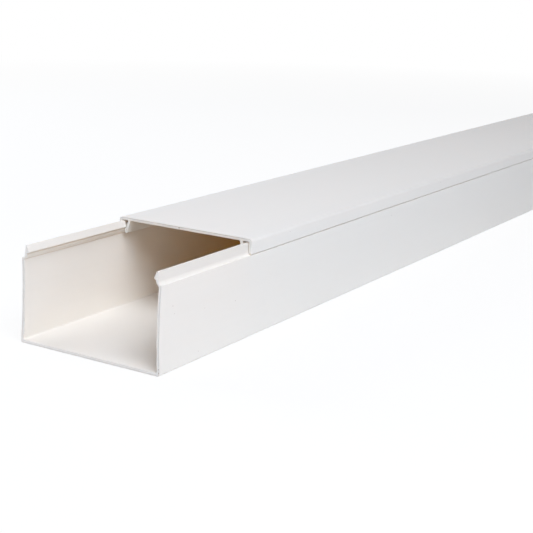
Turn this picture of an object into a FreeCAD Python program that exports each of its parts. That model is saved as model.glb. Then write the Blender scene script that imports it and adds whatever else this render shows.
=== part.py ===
import FreeCAD, Part
import math
import os

# Cable trunking of rigid PVC: a U-shaped base channel that is fixed to a wall by its floor,
# and a cover that clips over the channel's two lips.
# Both are extrusions, so each is one section drawn across X and Z and run along Y.
# The origin is the centre of the channel's underside, with +Z towards the cover.
# Millimetres.

# Overall sizes
trunking_width = 100.0
stock_length = 1000.0
cover_setback = 87.0           # the cover is slid back, so the channel's near end lies open

# Base channel
floor_thickness = 1.8
wall_thickness = 1.8
wall_height = 50.2             # underside to the shoulder that the cover's skirt meets
wall_bow = 0.7                 # the walls draw in between floor and shoulder as they cool
floor_edge_radius = 1.5
floor_inner_radius = 0.8
shoulder_edge_radius = 0.25

# Lip on each wall of the channel, which carries the barb
lip_height = 7.6               # shoulder to the tip
lip_thickness = 1.85
lip_rake = 0.65                # the lip's outer face leans in, so that the cover rides over it
tip_width = 0.65
tip_radius = 0.3
barb_depth = 1.3
barb_drop = 4.0                # tip to the barb's point
barb_radius = 0.25
undercut_rise = 1.05
elbow_angle = 42.0             # the wall's inner face turns in by this much to meet the lip
elbow_drop = 0.8               # elbow's foot below the shoulder
elbow_foot_radius = 1.0
elbow_head_radius = 2.0

# Cover
cover_thickness = 1.8
skirt_thickness = 1.8
cover_edge_radius = 2.2
skirt_edge_radius = 0.25
skirt_foot_flat = 0.15         # left between the two rounded edges of the skirt's foot
cover_inner_radius = 0.5
leg_thickness = 1.75
leg_angle = 17.0               # from upright; the clip legs spread towards their feet
leg_root_radius = 0.7
hook_depth = 1.2               # height of the hook's upright face under the barb
hook_taper = 1.4               # height of the foot below that face
hook_foot_inset = 0.55
hook_radius = 0.6
foot_roundness = 0.42          # the foot's radius as a share of its width

# Clearances between the two pieces
seam_gap = 0.35                # shoulder to the skirt's lower edge
side_clearance = 0.2           # lip to skirt
tip_clearance = 0.4            # lip's tip to the underside of the cover
clip_clearance = 0.25          # barb and lip to the clip leg
cove_clearance = 0.2           # the shoulder's cove is this much wider than the skirt's inner edge

# Levels and insets that follow from those sizes; an inset runs in from the wall's outer face
tip_level = wall_height + lip_height
barb_level = tip_level - barb_drop
cover_underside = tip_level + tip_clearance
cover_top = cover_underside + cover_thickness
skirt_foot = wall_height + seam_gap
skirt_inner_radius = skirt_thickness - skirt_edge_radius - skirt_foot_flat
shoulder_cove_radius = skirt_inner_radius + cove_clearance
lip_outer = skirt_thickness + side_clearance
lip_inner = lip_outer + lip_thickness
barb_point = lip_inner + barb_depth
half_width = trunking_width / 2


def inset_point(inset, level):
    """Point of the right-hand half section, from its inset and its level."""
    return FreeCAD.Vector(half_width - inset, 0, level)


def mirrored(point):
    """The same point on the left-hand half."""
    return FreeCAD.Vector(-point.x, point.y, point.z)


def tangent_arc(before, corner, after, radius):
    """Start, middle and end of the arc that rounds a corner."""
    towards_before = (before - corner).normalize()
    towards_after = (after - corner).normalize()
    half_angle = towards_before.getAngle(towards_after) / 2
    reach = radius / math.tan(half_angle)
    bisector = (towards_before + towards_after).normalize()
    to_middle = radius / math.sin(half_angle) - radius
    return (corner + towards_before * reach,
            corner + bisector * to_middle,
            corner + towards_after * reach)


def half_outline(start, corners, end):
    """One half of a closed outline, as runs of points: two for a line, three for an arc.

    start and end lie on the centre plane, and their runs are left out, because each is joined
    to its mirror image by one straight line. A corner is (inset, level, radius, bow), where bow
    is how far the middle of the run that follows is drawn in.
    """
    points = [start] + [inset_point(inset, level) for inset, level, _, _ in corners] + [end]
    runs = []
    previous_end = None
    previous_bow = 0
    for index, (_, _, radius, bow) in enumerate(corners):
        first, middle, last = tangent_arc(points[index], points[index + 1], points[index + 2], radius)
        if previous_end is not None:
            run_middle = (previous_end + first) * 0.5 - FreeCAD.Vector(previous_bow, 0, 0)
            runs.append((previous_end, run_middle, first) if previous_bow else (previous_end, first))
        runs.append((first, middle, last))
        previous_end = last
        previous_bow = bow
    return runs


def edge_through(points):
    """A straight edge through two points, or an arc through three."""
    if len(points) == 2:
        return Part.LineSegment(*points).toShape()
    return Part.Arc(*points).toShape()


def section_face(half_runs):
    """Closed, symmetrical section from the runs of its right-hand half."""
    right = [edge_through(run) for run in half_runs]
    left = [edge_through([mirrored(point) for point in reversed(run)]) for run in reversed(half_runs)]
    first_point = half_runs[0][0]
    last_point = half_runs[-1][-1]
    crossing = Part.LineSegment(last_point, mirrored(last_point)).toShape()
    closing = Part.LineSegment(mirrored(first_point), first_point).toShape()
    return Part.Face(Part.Wire(right + [crossing] + left + [closing]))


def extruded(face, near_end):
    """The section run along the stock's length, from its near end."""
    face.translate(FreeCAD.Vector(0, near_end, 0))
    return face.extrude(FreeCAD.Vector(0, stock_length, 0))


def channel_section():
    """Floor and two walls, each with its shoulder, lip and barb."""
    elbow_foot = wall_height - elbow_drop
    elbow_head = elbow_foot + (lip_inner - wall_thickness) / math.tan(math.radians(elbow_angle))
    corners = [
        (0, 0, floor_edge_radius, wall_bow),
        (0, wall_height, shoulder_edge_radius, 0),
        (lip_outer, wall_height, shoulder_cove_radius, 0),
        (lip_outer + lip_rake, tip_level, tip_radius, 0),
        (lip_outer + lip_rake + tip_width, tip_level, tip_radius, 0),
        (barb_point, barb_level, barb_radius, 0),
        (lip_inner, barb_level - undercut_rise, barb_radius, 0),
        (lip_inner, elbow_head, elbow_head_radius, 0),
        (wall_thickness, elbow_foot, elbow_foot_radius, wall_bow),
        (wall_thickness, floor_thickness, floor_inner_radius, 0),
    ]
    return section_face(half_outline(
        FreeCAD.Vector(0, 0, 0), corners, FreeCAD.Vector(0, 0, floor_thickness)))


def cover_section():
    """Flat top with a skirt down to each shoulder and a hooked leg behind each barb."""
    lean = math.tan(math.radians(leg_angle))
    undercut_angle = math.atan2(undercut_rise, barb_depth)
    catch_drop = clip_clearance * math.tan(math.pi / 4 - undercut_angle / 2)
    waist_level = barb_level - catch_drop
    hook_head = barb_level - undercut_rise - catch_drop
    hook_face = lip_inner + clip_clearance
    leg_foot = hook_head - hook_depth - hook_taper
    leg_outer_root = barb_point + clip_clearance + (cover_underside - waist_level) * lean
    leg_inner_root = leg_outer_root + leg_thickness / math.cos(math.radians(leg_angle))
    leg_inner_foot = leg_inner_root - (cover_underside - leg_foot) * lean
    leg_outer_foot = hook_face + hook_foot_inset
    foot_radius = foot_roundness * (leg_inner_foot - leg_outer_foot)
    corners = [
        (0, cover_top, cover_edge_radius, 0),
        (0, skirt_foot, skirt_edge_radius, 0),
        (skirt_thickness, skirt_foot, skirt_inner_radius, 0),
        (skirt_thickness, cover_underside, cover_inner_radius, 0),
        (leg_outer_root, cover_underside, leg_root_radius, 0),
        (barb_point + clip_clearance, waist_level, barb_radius, 0),
        (hook_face, hook_head, barb_radius, 0),
        (hook_face, hook_head - hook_depth, hook_radius, 0),
        (leg_outer_foot, leg_foot, foot_radius, 0),
        (leg_inner_foot, leg_foot, foot_radius, 0),
        (leg_inner_root, cover_underside, leg_root_radius, 0),
    ]
    return section_face(half_outline(
        FreeCAD.Vector(0, 0, cover_top), corners, FreeCAD.Vector(0, 0, cover_underside)))


def base_channel():
    """The channel, centred on the origin along its length."""
    return extruded(channel_section(), -stock_length / 2)


def clip_on_cover():
    """The cover, as long as the channel and slid back from its near end."""
    return extruded(cover_section(), -stock_length / 2 + cover_setback)


pieces = {
    "base_channel": base_channel(),
    "clip_on_cover": clip_on_cover(),
}

os.makedirs("parts", exist_ok=True)
for name, solid in pieces.items():
    print(name, "valid", solid.isValid(), "volume in cubic centimetres", round(solid.Volume / 1000, 2))
    solid.exportStep("parts/" + name + ".step")
print("clearance between the pieces", round(pieces["base_channel"].distToShape(pieces["clip_on_cover"])[0], 3))
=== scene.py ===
"""Dresses white PVC cable trunking, a channel and its clip-on cover, and lights it in a pale studio."""

import math
import random

import bmesh
import bpy
from bpy.props import FloatProperty, FloatVectorProperty, IntProperty, PointerProperty
from mathutils import Matrix, Vector


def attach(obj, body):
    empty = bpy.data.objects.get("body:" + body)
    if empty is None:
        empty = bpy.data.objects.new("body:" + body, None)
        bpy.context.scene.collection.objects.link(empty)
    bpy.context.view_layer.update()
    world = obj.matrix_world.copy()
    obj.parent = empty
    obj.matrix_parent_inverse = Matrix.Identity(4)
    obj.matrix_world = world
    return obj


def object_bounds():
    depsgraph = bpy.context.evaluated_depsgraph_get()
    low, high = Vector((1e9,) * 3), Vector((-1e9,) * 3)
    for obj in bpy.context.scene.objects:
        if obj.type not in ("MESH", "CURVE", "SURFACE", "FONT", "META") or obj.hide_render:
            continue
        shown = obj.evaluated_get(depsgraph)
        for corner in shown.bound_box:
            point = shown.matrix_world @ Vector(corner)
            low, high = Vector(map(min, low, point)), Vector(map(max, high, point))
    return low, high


bl_info = {
    "name": "Cable trunking finish",
    "version": (1, 0, 0),
    "blender": (4, 5, 0),
    "location": "3D View > Sidebar > Trunking",
    "description": "Finishes a cable trunking's channel and clip-on cover as white rigid PVC",
    "category": "Material",
}

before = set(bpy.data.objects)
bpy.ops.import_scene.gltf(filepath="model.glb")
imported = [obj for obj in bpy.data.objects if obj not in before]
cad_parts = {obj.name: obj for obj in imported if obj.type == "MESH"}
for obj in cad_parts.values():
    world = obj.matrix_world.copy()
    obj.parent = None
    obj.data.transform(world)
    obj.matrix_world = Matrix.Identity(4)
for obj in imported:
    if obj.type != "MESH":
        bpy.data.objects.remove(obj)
cad_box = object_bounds()
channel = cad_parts["base_channel"]
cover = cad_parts["clip_on_cover"]

# The trunking's outer sizes, from the frame
NEAR_END = cad_box[0][1]
UNDERSIDE = cad_box[0][2]
HALF_WIDTH = cad_box[1][0]
COVER_TOP = cad_box[1][2]

# The rest of its section, as in the part's source; an inset runs in from the walls' outermost plane
WALL_HEIGHT = 0.0502
WALL_BOW = 0.0007
COVER_UNDERSIDE = 0.0582

# A lip's outer face lies outside its middle's inset and above its foot, where its painted shade fades in
LIP_MIDDLE = 0.0029
LIP_FOOT = 0.0516
LIP_FADE = 0.001

# A darker line round each sawn end, just under the outer skin, and its darkest part
SKIN_LINE_DEPTH = 0.00045
SKIN_LINE_WIDTH = 0.0003
SKIN_LINE_CORE = SKIN_LINE_WIDTH / 4

# Corners darkened by a thin line of painted shade all along, inside the lips and under the
# cover's skirts: inset, level and radius
CHANNEL_SHADE_CREASES = (
    (0.00385, 0.05285, 0.00040),
    (0.00185, 0.04945, 0.00022),
)
COVER_SHADE_CREASES = (
    (0.00085, 0.05055, 0.00085),
)

# Specks that the photograph shows: place and radius
CHANNEL_SPECKS = (
    (0.04945, -0.4887, 0.0367, 0.00032),
    (0.04932, -0.4276, 0.0258, 0.00028),
    (0.04977, -0.4641, 0.0050, 0.00026),
    (0.04931, -0.4585, 0.0286, 0.00024),
    (0.04978, -0.2270, 0.0440, 0.00028),
    (0.04970, -0.2300, 0.0070, 0.00024),
    (0.04937, -0.4870, 0.0320, 0.00020),
    (0.04934, NEAR_END, 0.0040, 0.00036),
    (0.04940, NEAR_END, 0.0021, 0.00032),
)
COVER_SPECKS = (
    (0.05, -0.1440, 0.0570, 0.00030),
    (0.05, -0.3690, 0.0570, 0.00022),
    (-0.0035, -0.413, 0.0591, 0.00045),
)

# Share of its radius in which a speck or a crease has its full colour
SPOT_CORE = 0.6

# Grains per metre of each texture: across the stock, along it and up
CLOUD_GRAINS = (14, 5, 14)
STREAK_GRAINS = (420, 1.2, 420)
FINE_GRAINS = (1500, 2.5, 1500)
WAVE_GRAINS = (9, 11, 9)
CRUMB_GRAINS = (700, 1, 1900)
WANDER_GRAINS = (300, 300, 300)
SMOOTH_DETAIL = 2.0
CRISP_DETAIL = 3.0

# How much the textures change the brightness and the roughness
CLOUD_SWING = 0.02
STREAK_SWING = 0.015
CRUMB_SWING = 0.1
ROUGHNESS_SWING = 0.08

# Refractive index of rigid PVC
PVC_IOR = 1.53

# A face belongs to a sawn end when it faces along the stock by more than this share
END_FACING = 0.7

# A face beside a sawn end faces along the stock by less than this share
SIDE_FACING = 0.5

# Slivers of plastic sit only where the sliding cover never passes, and inside the solids' box
CLIP_ZONE_FOOT = 0.045
LEG_INSET = 0.009
BOX_MARGIN = 0.0002
EDGE_MATCH = 0.000001

# Shape of a sliver: its steps along the edge, how far it is sunk, and where in its depth it is highest
SLIVER_STEPS = 8
SLIVER_SINK = 0.00002
SLIVER_CREST = 1 / 3

# The lowest sliver as a share of the tallest, and the power that makes short ones more common
LOWEST_SLIVER = 0.35
SHORTNESS = 2

# The one larger sliver, at the foot of the left-hand wall
LARGE_SLIVER_PLACE = (-0.0479, NEAR_END, 0.0064)
LARGE_SLIVER_GROWTH = 1.8

# The lamps, whose places and powers are in the studio's settings
LAMPS = ("key", "high", "side", "left", "back")

# How often light bounces off matt faces and off any: with more, the depth under the cover turns grey
MATT_BOUNCES = 4
ALL_BOUNCES = 16

# The floor lies this far below the trunking's underside
FLOOR_GAP = 0.0001

# The camera's picture and how near and far it sees
PHOTO_SIDE_PX = 533
SENSOR_WIDTH_MM = 36.0
NEAREST_SEEN = 0.01
FARTHEST_SEEN = 200

WHITE = (1, 1, 1, 1)


class TrunkingPvc(bpy.types.PropertyGroup):
    """Colour and surface of the extruded PVC."""

    channel_colour: FloatVectorProperty(
        name="Channel colour", description="White of the channel's PVC",
        subtype="COLOR", size=3, min=0, max=1, default=(0.91, 0.892, 0.825))
    cover_colour: FloatVectorProperty(
        name="Cover colour", description="White of the cover's PVC",
        subtype="COLOR", size=3, min=0, max=1, default=(0.886, 0.871, 0.812))
    # Painted light: the sawn ends are whitened to make up for the weak light that falls on them
    sawn_painted_light_colour: FloatVectorProperty(
        name="Sawn colour", description="Whiter colour of the sawn ends, bruised by the blade",
        subtype="COLOR", size=3, min=0, max=1, default=(1.0, 0.99, 0.93))
    # A darker line just under the outer skin of the sawn ends
    end_skin_line_tone: FloatProperty(
        name="Sawn line tone", description="Brightness of the line that the saw leaves near the outer face",
        min=0, max=1, default=0.8, subtype="FACTOR")
    # Painted shade: the lips' outer faces are made darker to stand for shade on them
    lip_shade_tone: FloatProperty(
        name="Lip tone", description="Brightness of the lips' outer faces, along which the cover rubs",
        min=0, max=1, default=0.905, subtype="FACTOR")
    # Painted shade: the brown-grey that darkens the lips' inner corners
    crease_shade_colour: FloatVectorProperty(
        name="Crease colour", description="Brown-grey of the thin lines in the lips' corners",
        subtype="COLOR", size=3, min=0, max=1, default=(0.72, 0.62, 0.5))
    # Painted shade: the tan that darkens the skirts' feet inside the seam between the pieces
    seam_shade_colour: FloatVectorProperty(
        name="Seam colour", description="Tan of the skirts' feet, inside the seam",
        subtype="COLOR", size=3, min=0, max=1, default=(0.95, 0.84, 0.68))
    speck_colour: FloatVectorProperty(
        name="Speck colour", description="Tiny specks of burnt resin and dirt in the white",
        subtype="COLOR", size=3, min=0, max=1, default=(0.36, 0.31, 0.25))
    roughness: FloatProperty(
        name="Roughness", description="Roughness of the extruded faces",
        min=0, max=1, default=0.38, subtype="FACTOR")
    sawn_roughness: FloatProperty(
        name="Sawn roughness", description="Roughness of the sawn ends",
        min=0, max=1, default=0.7, subtype="FACTOR")
    glow_share: FloatProperty(
        name="Glow share", description="Share of the light that a skin of the plastic lets through",
        min=0, max=1, default=0.13, subtype="FACTOR")
    glow_colour: FloatVectorProperty(
        name="Glow colour", description="Colour of the light that comes through the plastic",
        subtype="COLOR", size=3, min=0, max=1, default=(1.0, 0.625, 0.1))
    die_line_depth: FloatProperty(
        name="Die line depth", description="Height of the fine lines that the die leaves along the stock",
        min=0, default=0.000004, subtype="DISTANCE", unit="LENGTH", precision=6)
    wave_depth: FloatProperty(
        name="Waviness", description="Height of the slow waves in the flat faces",
        min=0, default=0.00006, subtype="DISTANCE", unit="LENGTH", precision=6)
    saw_mark_depth: FloatProperty(
        name="Saw mark depth", description="Height of the marks that the blade leaves on the ends",
        min=0, default=0.00003, subtype="DISTANCE", unit="LENGTH", precision=6)


class TrunkingBurrs(bpy.types.PropertyGroup):
    """Slivers of plastic that the saw leaves along the cut edges."""

    count: IntProperty(
        name="Slivers", description="How many slivers each sawn end of a piece has",
        min=0, default=34)
    seed: IntProperty(
        name="Seed", description="Which of the random arrangements is used",
        min=0, default=11)
    shortest: FloatProperty(
        name="Shortest", description="Length of the shortest sliver",
        min=0, default=0.0005, subtype="DISTANCE", unit="LENGTH", precision=5)
    longest: FloatProperty(
        name="Longest", description="Length of the longest sliver",
        min=0, default=0.0032, subtype="DISTANCE", unit="LENGTH", precision=5)
    height: FloatProperty(
        name="Height", description="How far the tallest sliver stands out of its face",
        min=0, default=0.00017, subtype="DISTANCE", unit="LENGTH", precision=5)
    depth: FloatProperty(
        name="Depth", description="How far a sliver reaches back from the cut",
        min=0, default=0.00022, subtype="DISTANCE", unit="LENGTH", precision=5)


class TrunkingStudio(bpy.types.PropertyGroup):
    """Floor, lamps and camera."""

    floor_colour: FloatVectorProperty(
        name="Floor colour", description="Colour of the pale floor",
        subtype="COLOR", size=3, min=0, max=1, default=(0.9, 0.9, 0.9))
    floor_side: FloatProperty(
        name="Floor side", description="Side of the square floor",
        min=1, default=60, subtype="DISTANCE", unit="LENGTH")
    mirrored_white: FloatProperty(
        name="Mirrored white", description="Share of plain white that reflections see all round",
        min=0, max=1, default=0.4, subtype="FACTOR")
    floor_white: FloatProperty(
        name="Floor white", description="Share of plain white that the camera sees in the floor",
        min=0, max=1, default=0.88, subtype="FACTOR")
    shadow_reach: FloatProperty(
        name="Shadow reach", description="How far from its middle the floor shows shadows",
        min=0, default=1.6, subtype="DISTANCE", unit="LENGTH")
    sky_strength: FloatProperty(
        name="Sky strength", description="Light that comes evenly from all round",
        min=0, default=0.0)
    lamp_aim: FloatVectorProperty(
        name="Lamps' aim", description="Point that every lamp faces",
        subtype="TRANSLATION", unit="LENGTH", size=3, default=(0, -0.4, 0.03))
    lamp_distance: FloatProperty(
        name="Lamp distance", description="From the lamps to that point",
        min=0.5, default=1.8, subtype="DISTANCE", unit="LENGTH")
    lamp_side: FloatProperty(
        name="Lamp side", description="Side of each square lamp",
        min=0.1, default=0.95, subtype="DISTANCE", unit="LENGTH")
    lamp_colour: FloatVectorProperty(
        name="Lamp colour", description="Colour of every lamp's light",
        subtype="COLOR", size=3, min=0, max=1, default=(0.85, 0.897, 1.0))
    key_from: FloatVectorProperty(
        name="Key lamp from", description="Turn and rise of the main lamp, high on the right",
        size=2, unit="ROTATION", default=(math.radians(55), math.radians(45)))
    key_power: FloatProperty(
        name="Key lamp power", description="Power of the main lamp, high on the right",
        min=0, default=21.6, subtype="POWER", unit="POWER")
    high_from: FloatVectorProperty(
        name="High lamp from", description="Turn and rise of the lamp above the main one",
        size=2, unit="ROTATION", default=(math.radians(60), math.radians(70)))
    high_power: FloatProperty(
        name="High lamp power", description="Power of the lamp above the main one",
        min=0, default=13.0, subtype="POWER", unit="POWER")
    side_from: FloatVectorProperty(
        name="Side lamp from", description="Turn and rise of the lamp beside the right-hand wall",
        size=2, unit="ROTATION", default=(math.radians(90), math.radians(45)))
    side_power: FloatProperty(
        name="Side lamp power", description="Power of the lamp beside the right-hand wall",
        min=0, default=5.9, subtype="POWER", unit="POWER")
    left_from: FloatVectorProperty(
        name="Left lamp from", description="Turn and rise of the low lamp beside the left-hand wall",
        size=2, unit="ROTATION", default=(math.radians(270), math.radians(20)))
    left_power: FloatProperty(
        name="Left lamp power", description="Power of the low lamp beside the left-hand wall",
        min=0, default=22.2, subtype="POWER", unit="POWER")
    back_from: FloatVectorProperty(
        name="Back lamp from", description="Turn and rise of the lamp behind the left-hand wall",
        size=2, unit="ROTATION", default=(math.radians(225), math.radians(45)))
    back_power: FloatProperty(
        name="Back lamp power", description="Power of the lamp behind the left-hand wall",
        min=0, default=5.5, subtype="POWER", unit="POWER")
    camera_place: FloatVectorProperty(
        name="Camera place", description="Where the camera stands",
        subtype="TRANSLATION", unit="LENGTH", size=3, default=(0.43544, -1.00972, 0.22623))
    azimuth: FloatProperty(
        name="Azimuth", description="Turn of the view from straight along the stock",
        default=math.radians(29.924), subtype="ANGLE", unit="ROTATION")
    elevation: FloatProperty(
        name="Elevation", description="How steeply the camera looks down",
        default=math.radians(6.697), subtype="ANGLE", unit="ROTATION")
    roll: FloatProperty(
        name="Roll", description="Tilt of the picture",
        default=math.radians(2.257), subtype="ANGLE", unit="ROTATION")
    focal_px: FloatProperty(
        name="Focal length in pixels", description="Focal length in pixels of the square picture",
        min=1, default=1219.72)
    centre_px: FloatVectorProperty(
        name="Optical centre in pixels", description="Where the lens's axis meets the cropped picture",
        size=2, default=(318.54, 103.11))


def feed(tree, socket, value):
    """Links an input to another node's output, or sets it to a value."""
    if isinstance(value, bpy.types.NodeSocket):
        tree.links.new(value, socket)
    else:
        socket.default_value = value


def add_node(tree, kind, inputs=None, operation=None):
    """A shader node; inputs holds what each input gets, by the input's name or number."""
    node = tree.nodes.new("ShaderNode" + kind)
    if operation:
        node.operation = operation
    for key, value in (inputs or {}).items():
        feed(tree, node.inputs[key], value)
    return node


def calculate(tree, operation, first, second=0.0):
    """Result of a Math node."""
    return add_node(tree, "Math", {0: first, 1: second}, operation).outputs[0]


def distance(tree, place, middle):
    """How far a place lies from a fixed point."""
    return add_node(tree, "VectorMath", {0: place, 1: middle}, "DISTANCE").outputs["Value"]


def axes_of(tree, vector):
    """The X, Y and Z of a vector."""
    return add_node(tree, "SeparateXYZ", {"Vector": vector}).outputs


def mix_values(tree, share, first, second):
    """The first value where the share is 0, and the second where it is 1."""
    return add_node(tree, "Mix", {"Factor": share, "A": first, "B": second}).outputs["Result"]


def mix_colours(tree, share, first, second):
    """The first colour where the share is 0, and the second where it is 1."""
    mix = tree.nodes.new("ShaderNodeMix")
    mix.data_type = "RGBA"
    by_identifier = {socket.identifier: socket for socket in mix.inputs}
    feed(tree, by_identifier["Factor_Float"], share)
    for identifier, colour in (("A_Color", first), ("B_Color", second)):
        is_linked = isinstance(colour, bpy.types.NodeSocket)
        feed(tree, by_identifier[identifier], colour if is_linked else (*colour, 1))
    return next(socket for socket in mix.outputs if socket.identifier == "Result_Color")


def noise(tree, place, grains, detail=SMOOTH_DETAIL):
    """A noise of 0 to 1; grains says how many it has per metre of each axis."""
    stretched = add_node(tree, "Mapping", {"Vector": place, "Scale": grains}).outputs["Vector"]
    return add_node(tree, "TexNoise", {"Vector": stretched, "Scale": 1.0, "Detail": detail}).outputs[0]


def around_zero(tree, value, height):
    """A 0 to 1 value turned to a swing of plus or minus half the height."""
    return calculate(tree, "MULTIPLY", calculate(tree, "SUBTRACT", value, 0.5), height)


def ramp(tree, value, low, high):
    """1 where a value is at or below the low end, falling to 0 at the high end."""
    limits = {"Value": value, "From Min": low, "From Max": high, "To Min": 1.0, "To Max": 0.0}
    return add_node(tree, "MapRange", limits).outputs["Result"]


def end_mask(tree):
    """1 on the sawn ends, which face along the stock, and 0 elsewhere."""
    facing = axes_of(tree, add_node(tree, "TexCoord").outputs["Normal"])
    return calculate(tree, "GREATER_THAN", calculate(tree, "ABSOLUTE", facing["Y"]), END_FACING)


def soft_spots(tree, place, spots):
    """1 in the middle of each spot, falling to 0 at its radius."""
    share = 0.0
    for *middle, radius in spots:
        away = distance(tree, place, middle)
        share = calculate(tree, "MAXIMUM", share, ramp(tree, away, radius * SPOT_CORE, radius))
    return share


def shade_creases(tree, place, lines):
    """1 in the middle of each line of painted shade along both sides of the stock, falling to 0 at its
    radius.
    """
    axes = axes_of(tree, place)
    aside = calculate(tree, "ABSOLUTE", axes["X"])
    in_section = add_node(tree, "CombineXYZ", {"X": aside, "Z": axes["Z"]}).outputs["Vector"]
    spots = [(HALF_WIDTH - inset, 0, level, radius) for inset, level, radius in lines]
    return soft_spots(tree, in_section, spots)


def inset_of(tree, axes):
    """How far a point lies in from the side walls' outermost plane."""
    return calculate(tree, "SUBTRACT", HALF_WIDTH, calculate(tree, "ABSOLUTE", axes["X"]))


def outer_lip(tree, place):
    """1 on the outer faces of the channel's lips, and 0 elsewhere."""
    axes = axes_of(tree, place)
    outside = calculate(tree, "LESS_THAN", inset_of(tree, axes), LIP_MIDDLE)
    below = ramp(tree, axes["Z"], LIP_FOOT, LIP_FOOT + LIP_FADE)
    return calculate(tree, "MULTIPLY", outside, calculate(tree, "SUBTRACT", 1.0, below))


def wall_bow(tree, level):
    """How far the walls' outer faces are drawn in at a level: a parabola with WALL_BOW at mid height."""
    share = calculate(tree, "DIVIDE", level, WALL_HEIGHT)
    rest = calculate(tree, "MAXIMUM", calculate(tree, "SUBTRACT", 1.0, share), 0.0)
    return calculate(tree, "MULTIPLY", calculate(tree, "MULTIPLY", share, rest), 4 * WALL_BOW)


def depth_below_skin(tree, place, outer_level):
    """How far a point of a sawn end lies below the outer skin, of a side wall or at the outer level."""
    axes = axes_of(tree, place)
    from_side = calculate(tree, "SUBTRACT", inset_of(tree, axes), wall_bow(tree, axes["Z"]))
    from_level = calculate(tree, "ABSOLUTE", calculate(tree, "SUBTRACT", axes["Z"], outer_level))
    return calculate(tree, "MINIMUM", from_side, from_level)


def skin_line(tree, place, outer_level):
    """1 on a darker line just under the outer skin of a sawn end, and 0 elsewhere."""
    wander = around_zero(tree, noise(tree, place, WANDER_GRAINS), SKIN_LINE_WIDTH)
    depth = calculate(tree, "ADD", depth_below_skin(tree, place, outer_level), wander)
    off_line = calculate(tree, "ABSOLUTE", calculate(tree, "SUBTRACT", depth, SKIN_LINE_DEPTH))
    return ramp(tree, off_line, SKIN_LINE_CORE, SKIN_LINE_WIDTH)


def face_tone(tree, place, lip_shade_tone):
    """Change in the extruded faces' brightness: slow clouds, fine streaks, and painted shade on the lips'
    outer faces.
    """
    cloud = around_zero(tree, noise(tree, place, CLOUD_GRAINS), CLOUD_SWING)
    streak = around_zero(tree, noise(tree, place, STREAK_GRAINS, CRISP_DETAIL), STREAK_SWING)
    # Painted shade on the lips' outer faces
    painted_lip_shade = calculate(tree, "MULTIPLY", outer_lip(tree, place), 1 - lip_shade_tone)
    return calculate(tree, "SUBTRACT", calculate(tree, "ADD", cloud, streak), painted_lip_shade)


def sawn_tone(tree, place, crumbs, outer_level, line_tone):
    """Change in the sawn ends' brightness: crumbs, and a darker line just under the outer skin."""
    line = calculate(tree, "MULTIPLY", skin_line(tree, place, outer_level), 1 - line_tone)
    return calculate(tree, "SUBTRACT", around_zero(tree, crumbs, CRUMB_SWING), line)


def relief(tree, place, sawn, fine, crumbs, pvc):
    """Slow waves and fine die lines in the extruded faces, and saw marks in the ends."""
    waves = calculate(tree, "MULTIPLY", noise(tree, place, WAVE_GRAINS), pvc.wave_depth)
    lines = calculate(tree, "MULTIPLY", fine, pvc.die_line_depth)
    marks = calculate(tree, "MULTIPLY", crumbs, pvc.saw_mark_depth)
    height = mix_values(tree, sawn, calculate(tree, "ADD", waves, lines), marks)
    return add_node(tree, "Bump", {"Strength": 1.0, "Distance": 1.0, "Height": height}).outputs["Normal"]


def plastic_shader(tree, colour, roughness, normal, pvc):
    """Opaque plastic that also lets a small share of the light through, in a warm colour."""
    surface = {"Base Color": colour, "Roughness": roughness, "Normal": normal, "IOR": PVC_IOR}
    opaque = add_node(tree, "BsdfPrincipled", surface).outputs[0]
    glow = {"Color": (*pvc.glow_colour, 1), "Normal": normal}
    glowing = add_node(tree, "BsdfTranslucent", glow).outputs[0]
    return add_node(tree, "MixShader", {0: pvc.glow_share, 1: opaque, 2: glowing}).outputs[0]


def new_material(name):
    """A material with an empty node tree."""
    material = bpy.data.materials.new(name)
    material.use_nodes = True
    material.node_tree.nodes.clear()
    return material


def pvc_material(name, colour, pvc, outer_level, spots, shade_crease_lines, crease_shade_colour, lip_shade_tone=1.0):
    """White rigid PVC: even colour, die lines along the stock, sawn ends whitened as painted light, lines
    of painted shade in corners and seams, and some light through it.

    outer_level is the height of the piece's outer skin between its sides, and the lips' outer
    faces are darkened by painted shade, as far as the lip tone says.
    """
    material = new_material(name)
    tree = material.node_tree
    place = add_node(tree, "TexCoord").outputs["Object"]
    sawn = end_mask(tree)
    crumbs = noise(tree, place, CRUMB_GRAINS, CRISP_DETAIL)
    fine = noise(tree, place, FINE_GRAINS)

    end_tone = sawn_tone(tree, place, crumbs, outer_level, pvc.end_skin_line_tone)
    tone = mix_values(tree, sawn, face_tone(tree, place, lip_shade_tone), end_tone)
    brightness = calculate(tree, "ADD", tone, 1.0)
    # Painted light: the whiter sawn ends make up for the weak light on them
    plastic = mix_colours(tree, sawn, colour, pvc.sawn_painted_light_colour)
    toned = add_node(tree, "HueSaturation", {"Value": brightness, "Color": plastic}).outputs["Color"]
    # Painted shade: thin darker lines in the corners and at the seam
    crease_shaded = mix_colours(tree, shade_creases(tree, place, shade_crease_lines), toned, crease_shade_colour)
    dotted = mix_colours(tree, soft_spots(tree, place, spots), crease_shaded, pvc.speck_colour)

    face_roughness = calculate(tree, "ADD", around_zero(tree, fine, ROUGHNESS_SWING), pvc.roughness)
    roughness = mix_values(tree, sawn, face_roughness, pvc.sawn_roughness)
    normal = relief(tree, place, sawn, fine, crumbs, pvc)
    shader = plastic_shader(tree, dotted, roughness, normal, pvc)
    add_node(tree, "OutputMaterial", {"Surface": shader})
    return material


def dress(node, material):
    """Gives a frame node its material in every slot."""
    if not node.material_slots:
        node.data.materials.append(material)
    for slot in node.material_slots:
        slot.material = material


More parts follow.
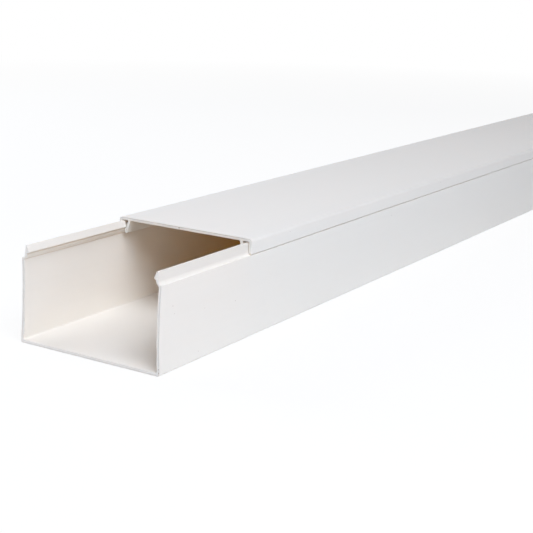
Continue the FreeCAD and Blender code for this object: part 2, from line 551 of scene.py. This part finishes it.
def sawn_rim(node, end):
    """Edges of a sawn end: two points and the outward direction of the face beside them."""
    rim = []
    turn = node.matrix_world.to_3x3()
    for face in node.data.polygons:
        points = [node.matrix_world @ node.data.vertices[index].co for index in face.vertices]
        at_end = [point for point in points if abs(point.y - end) < EDGE_MATCH]
        facing = (turn @ face.normal).normalized()
        if len(at_end) == 2 and abs(facing.y) < SIDE_FACING:
            rim.append((at_end[0], at_end[1], facing))
    return rim


def clear_of_cover(point):
    """Whether a point of the channel lies below everything that the sliding cover passes."""
    return point.z < CLIP_ZONE_FOOT


def between_legs(point):
    """Whether a point of the cover lies on its underside, between the clip legs."""
    return abs(point.x) < HALF_WIDTH - LEG_INSET and point.z < COVER_UNDERSIDE + EDGE_MATCH


def inside_box(point):
    """Whether a point lies inside the solids' box, with a little to spare."""
    aside = abs(point.x) < HALF_WIDTH - BOX_MARGIN / 2
    return aside and BOX_MARGIN < point.z < COVER_TOP - BOX_MARGIN


def add_sliver(builder, middle, along, facing, inward, length, height, depth):
    """One low flake on a sawn edge, tapered at both ends and a little sunk into the piece."""
    sunk = facing * -SLIVER_SINK
    tips = []
    for side in (-0.5, 0.5):
        tips.append(builder.verts.new(middle + along * (side * length) + sunk + inward * SLIVER_SINK))
    rings = []
    for step in range(1, SLIVER_STEPS):
        share = step / SLIVER_STEPS
        swell = math.sin(math.pi * share)
        base = middle + along * ((share - 0.5) * length) + inward * SLIVER_SINK
        rings.append((
            builder.verts.new(base + sunk),
            builder.verts.new(base + facing * (height * swell) + inward * (depth * swell * SLIVER_CREST)),
            builder.verts.new(base + sunk + inward * (depth * swell)),
        ))
    corners = len(rings[0])
    for corner in range(corners):
        after = (corner + 1) % corners
        builder.faces.new((tips[0], rings[0][after], rings[0][corner]))
        builder.faces.new((tips[1], rings[-1][corner], rings[-1][after]))
        for ring, next_ring in zip(rings, rings[1:]):
            builder.faces.new((ring[corner], ring[after], next_ring[after], next_ring[corner]))


def free_rim(node, end, allowed, shortest):
    """The edges of a sawn end that may hold a sliver."""
    rim = []
    for first, second, facing in sawn_rim(node, end):
        if allowed(first) and allowed(second) and (second - first).length > shortest:
            rim.append((first, second, facing))
    if not rim:
        raise RuntimeError("no free edge for the slivers of " + node.name)
    return rim


def scatter_slivers(builder, node, end, inward, allowed, burrs, chance):
    """Slivers at random places along one sawn end."""
    rim = free_rim(node, end, allowed, burrs.shortest)
    lengths = [(second - first).length for first, second, _ in rim]
    for first, second, facing in chance.choices(rim, weights=lengths, k=burrs.count):
        edge_length = (second - first).length
        growth = (burrs.longest - burrs.shortest) * chance.random() ** SHORTNESS
        length = min(burrs.shortest + growth, edge_length)
        along = (second - first).normalized()
        middle = first + along * (length / 2 + (edge_length - length) * chance.random())
        height = burrs.height * (LOWEST_SLIVER + (1 - LOWEST_SLIVER) * chance.random())
        if inside_box(middle + facing * height):
            add_sliver(builder, middle, along, facing, inward, length, height, burrs.depth)


def add_large_sliver(builder, burrs):
    """The larger flake, upright on the left-hand wall's inner face, near its foot."""
    add_sliver(
        builder, Vector(LARGE_SLIVER_PLACE),
        along=Vector((0, 0, 1)), facing=Vector((1, 0, 0)), inward=Vector((0, 1, 0)),
        length=burrs.longest / LARGE_SLIVER_GROWTH, height=burrs.height * LARGE_SLIVER_GROWTH,
        depth=burrs.depth * LARGE_SLIVER_GROWTH)


def sliver_object(name, builder, material):
    """The slivers of one piece as one object with that piece's material."""
    bmesh.ops.recalc_face_normals(builder, faces=builder.faces)
    mesh = bpy.data.meshes.new(name)
    builder.to_mesh(mesh)
    builder.free()
    mesh.materials.append(material)
    slivers = bpy.data.objects.new(name, mesh)
    bpy.context.scene.collection.objects.link(slivers)
    return slivers


def shown_as_white(tree, studio):
    """1 for the rays by which the camera sees the background straight or through glass.

    It is less for the rays that see it mirrored, and 0 for the ones that light the object.
    """
    rays = add_node(tree, "LightPath").outputs
    mirrored = calculate(tree, "MULTIPLY", rays["Is Glossy Ray"], studio.mirrored_white)
    either = calculate(tree, "MAXIMUM", rays["Is Camera Ray"], mirrored)
    return calculate(tree, "MAXIMUM", either, rays["Is Transmission Ray"])


def floor_material(studio):
    """Pale floor that the camera sees nearly white, with the object's shadow on it."""
    material = new_material("pale_floor")
    tree = material.node_tree
    lit = add_node(tree, "BsdfDiffuse", {"Color": (*studio.floor_colour, 1)}).outputs[0]
    white = add_node(tree, "Emission", {"Color": WHITE, "Strength": 1.0}).outputs[0]
    place = add_node(tree, "TexCoord").outputs["Object"]
    away = add_node(tree, "VectorMath", {0: place}, "LENGTH").outputs["Value"]
    near = ramp(tree, away, studio.shadow_reach / 2, studio.shadow_reach)
    lit_share = calculate(tree, "MULTIPLY", near, 1 - studio.floor_white)
    white_share = calculate(tree, "SUBTRACT", 1.0, lit_share)
    share = calculate(tree, "MULTIPLY", shown_as_white(tree, studio), white_share)
    mixed = add_node(tree, "MixShader", {0: share, 1: lit, 2: white}).outputs[0]
    add_node(tree, "OutputMaterial", {"Surface": mixed})
    return material


def add_floor(studio):
    """Level floor just below the trunking's underside."""
    half = studio.floor_side / 2
    mesh = bpy.data.meshes.new("studio_floor")
    corners = [(x * half, y * half, -FLOOR_GAP) for x, y in ((-1, -1), (1, -1), (1, 1), (-1, 1))]
    mesh.from_pydata(corners, [], [(0, 1, 2, 3)])
    floor = bpy.data.objects.new("studio_floor", mesh)
    bpy.context.scene.collection.objects.link(floor)
    mesh.materials.append(floor_material(studio))


def set_sky(studio):
    """Even light from all round, seen as white by the camera."""
    world = bpy.data.worlds.new("studio_sky")
    world.use_nodes = True
    tree = world.node_tree
    tree.nodes.clear()
    ambient = add_node(tree, "Background", {"Color": WHITE, "Strength": studio.sky_strength}).outputs[0]
    white = add_node(tree, "Background", {"Color": WHITE, "Strength": 1.0}).outputs[0]
    mixed = add_node(tree, "MixShader", {0: shown_as_white(tree, studio), 1: ambient, 2: white}).outputs[0]
    add_node(tree, "OutputWorld", {"Surface": mixed})
    bpy.context.scene.world = world


def outward(turn, rise):
    """Direction from the part: its turn from straight before the near end, and its rise above the floor."""
    return Vector((math.sin(turn) * math.cos(rise), -math.cos(turn) * math.cos(rise), math.sin(rise)))


def add_lamp(name, studio):
    """Square soft lamp that faces the lamps' aim."""
    light = bpy.data.lights.new(name + "_lamp", "AREA")
    light.shape = "SQUARE"
    light.size = studio.lamp_side
    light.color = studio.lamp_colour
    light.energy = getattr(studio, name + "_power")
    lamp = bpy.data.objects.new(name + "_lamp", light)
    direction = outward(*getattr(studio, name + "_from"))
    lamp.location = Vector(studio.lamp_aim) + direction * studio.lamp_distance
    lamp.rotation_euler = (-direction).to_track_quat("-Z", "Y").to_euler()
    bpy.context.scene.collection.objects.link(lamp)


def add_camera(studio):
    """Camera at the photograph's place and angle, with a shifted lens because the photograph is a crop."""
    back = outward(studio.azimuth, studio.elevation)
    right = Vector((0, 0, 1)).cross(back).normalized()
    up = back.cross(right)
    rolled_right = right * math.cos(studio.roll) + up * math.sin(studio.roll)
    rolled_up = up * math.cos(studio.roll) - right * math.sin(studio.roll)
    data = bpy.data.cameras.new("photo_camera")
    data.sensor_width = SENSOR_WIDTH_MM
    data.lens = studio.focal_px * SENSOR_WIDTH_MM / PHOTO_SIDE_PX
    data.shift_x = 0.5 - studio.centre_px[0] / PHOTO_SIDE_PX
    data.shift_y = studio.centre_px[1] / PHOTO_SIDE_PX - 0.5
    data.clip_start = NEAREST_SEEN
    data.clip_end = FARTHEST_SEEN
    camera = bpy.data.objects.new("photo_camera", data)
    axes = Matrix((rolled_right, rolled_up, back)).transposed()
    camera.matrix_world = Matrix.Translation(studio.camera_place) @ axes.to_4x4()
    bpy.context.scene.collection.objects.link(camera)
    bpy.context.scene.camera = camera


class TRUNKING_OT_finish_channel(bpy.types.Operator):
    """Give the channel its white PVC"""

    bl_idname = "trunking.finish_channel"
    bl_label = "Finish the channel"
    bl_options = {"REGISTER", "UNDO"}

    def execute(self, context):
        pvc = context.scene.trunking_pvc
        dress(channel, pvc_material(
            "channel_white_pvc", pvc.channel_colour, pvc, outer_level=UNDERSIDE, spots=CHANNEL_SPECKS,
            shade_crease_lines=CHANNEL_SHADE_CREASES, crease_shade_colour=pvc.crease_shade_colour, lip_shade_tone=pvc.lip_shade_tone))
        return {"FINISHED"}


class TRUNKING_OT_finish_cover(bpy.types.Operator):
    """Give the clip-on cover its white PVC"""

    bl_idname = "trunking.finish_cover"
    bl_label = "Finish the cover"
    bl_options = {"REGISTER", "UNDO"}

    def execute(self, context):
        pvc = context.scene.trunking_pvc
        dress(cover, pvc_material(
            "cover_white_pvc", pvc.cover_colour, pvc, outer_level=COVER_TOP, spots=COVER_SPECKS,
            shade_crease_lines=COVER_SHADE_CREASES, crease_shade_colour=pvc.seam_shade_colour))
        return {"FINISHED"}


class TRUNKING_OT_add_burrs(bpy.types.Operator):
    """Leave slivers of plastic along the sawn edges of both pieces"""

    bl_idname = "trunking.add_burrs"
    bl_label = "Add the slivers"
    bl_options = {"REGISTER", "UNDO"}

    def execute(self, context):
        burrs = context.scene.trunking_burrs
        chance = random.Random(burrs.seed)
        for node, body, slot, allowed in (
            (channel, "channel", "channel_pvc", clear_of_cover),
            (cover, "cover", "cover_pvc", between_legs),
        ):
            builder = bmesh.new()
            along_stock = [(node.matrix_world @ vertex.co).y for vertex in node.data.vertices]
            for end, inward in ((min(along_stock), 1), (max(along_stock), -1)):
                scatter_slivers(builder, node, end, Vector((0, inward, 0)), allowed, burrs, chance)
            if node is channel:
                add_large_sliver(builder, burrs)
            slivers = sliver_object(body + "_slivers", builder, node.material_slots[0].material)
            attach(slivers, body)
        return {"FINISHED"}


class TRUNKING_OT_build_studio(bpy.types.Operator):
    """Set up the pale floor, the soft light and the camera"""

    bl_idname = "trunking.build_studio"
    bl_label = "Build the studio"
    bl_options = {"REGISTER", "UNDO"}

    def execute(self, context):
        studio = context.scene.trunking_studio
        context.scene.view_settings.view_transform = "Standard"
        context.scene.cycles.diffuse_bounces = MATT_BOUNCES
        context.scene.cycles.max_bounces = ALL_BOUNCES
        add_floor(studio)
        set_sky(studio)
        for name in LAMPS:
            add_lamp(name, studio)
        add_camera(studio)
        return {"FINISHED"}


class TRUNKING_PT_panel(bpy.types.Panel):
    """Lists the trunking's finishes and studio"""

    bl_idname = "TRUNKING_PT_panel"
    bl_label = "Cable trunking"
    bl_space_type = "VIEW_3D"
    bl_region_type = "UI"
    bl_category = "Trunking"

    def draw(self, context):
        layout = self.layout
        for title, settings, operators in (
            ("PVC", context.scene.trunking_pvc, (TRUNKING_OT_finish_channel, TRUNKING_OT_finish_cover)),
            ("Sawn edges", context.scene.trunking_burrs, (TRUNKING_OT_add_burrs,)),
            ("Studio", context.scene.trunking_studio, (TRUNKING_OT_build_studio,)),
        ):
            box = layout.box()
            box.label(text=title)
            for name in settings.__annotations__:
                box.prop(settings, name)
            for operator in operators:
                box.operator(operator.bl_idname)


CLASSES = (
    TrunkingPvc,
    TrunkingBurrs,
    TrunkingStudio,
    TRUNKING_OT_finish_channel,
    TRUNKING_OT_finish_cover,
    TRUNKING_OT_add_burrs,
    TRUNKING_OT_build_studio,
    TRUNKING_PT_panel,
)


def register():
    """Adds the classes and the scene's settings."""
    for each in CLASSES:
        bpy.utils.register_class(each)
    bpy.types.Scene.trunking_pvc = PointerProperty(type=TrunkingPvc)
    bpy.types.Scene.trunking_burrs = PointerProperty(type=TrunkingBurrs)
    bpy.types.Scene.trunking_studio = PointerProperty(type=TrunkingStudio)


def unregister():
    """Takes the scene's settings and the classes away again."""
    del bpy.types.Scene.trunking_studio
    del bpy.types.Scene.trunking_burrs
    del bpy.types.Scene.trunking_pvc
    for each in reversed(CLASSES):
        bpy.utils.unregister_class(each)


def main():
    """Dresses the frame and sets up the studio."""
    register()
    bpy.ops.trunking.finish_channel()
    bpy.ops.trunking.finish_cover()
    bpy.ops.trunking.add_burrs()
    bpy.ops.trunking.build_studio()


if __name__ == "__main__":
    main()
